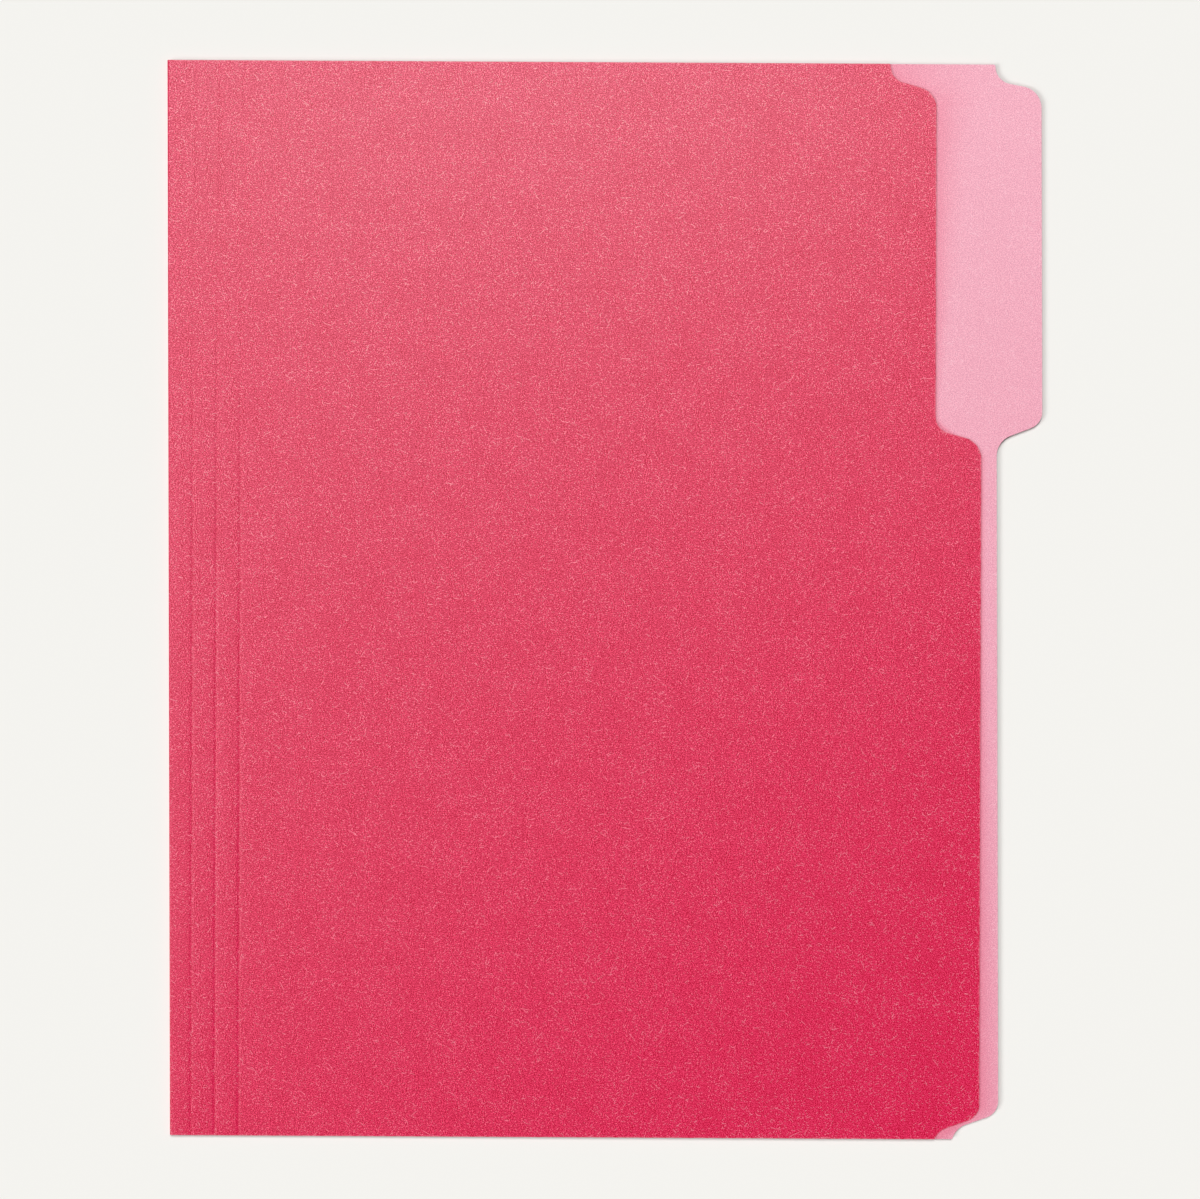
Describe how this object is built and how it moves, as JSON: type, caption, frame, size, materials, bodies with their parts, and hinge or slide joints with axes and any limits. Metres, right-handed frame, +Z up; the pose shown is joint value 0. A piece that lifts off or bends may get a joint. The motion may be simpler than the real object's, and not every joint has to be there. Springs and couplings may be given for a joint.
{
  "type": "file folder",
  "caption": "Closed letter-size file folder in two-colour card, with a cut tab on the back leaf, an undercut front leaf and three scored lines beside the fold.",
  "frame": {"origin": "centre of the closed folder's underside, at the table", "axes": "+X from the fold towards the tab, +Y along the fold towards the tab's end of the sheet, +Z up out of the front leaf"},
  "size_m": [0.2432, 0.2984, 0.0012],
  "materials": {
    "red_card": "uncoated dyed card, matt, with short pale fibres",
    "pink_card": "uncoated dyed card, matt, smoother and paler"
  },
  "bodies": {
    "back_leaf": {"back_leaf_outer_ply": "red_card", "back_leaf_inner_ply": "pink_card"},
    "front_leaf": {"fold_outer_ply": "red_card", "fold_inner_ply": "pink_card", "gusset_strip_1_outer_ply": "red_card", "gusset_strip_1_inner_ply": "pink_card", "score_1_outer_ply": "red_card", "score_1_inner_ply": "pink_card", "gusset_strip_2_outer_ply": "red_card", "gusset_strip_2_inner_ply": "pink_card", "score_2_outer_ply": "red_card", "score_2_inner_ply": "pink_card", "gusset_strip_3_outer_ply": "red_card", "gusset_strip_3_inner_ply": "pink_card", "score_3_outer_ply": "red_card", "score_3_inner_ply": "pink_card", "front_leaf_outer_ply": "red_card", "front_leaf_inner_ply": "pink_card"}
  },
  "joints": [
    {"name": "cover_open", "type": "hinge", "parent": "back_leaf", "child": "front_leaf", "pos_m": [-0.12112, 0, 0.00058], "axis": [0, -1, 0], "range_deg": [0, 180], "deforming": ["fold_outer_ply", "fold_inner_ply"]}
  ]
}
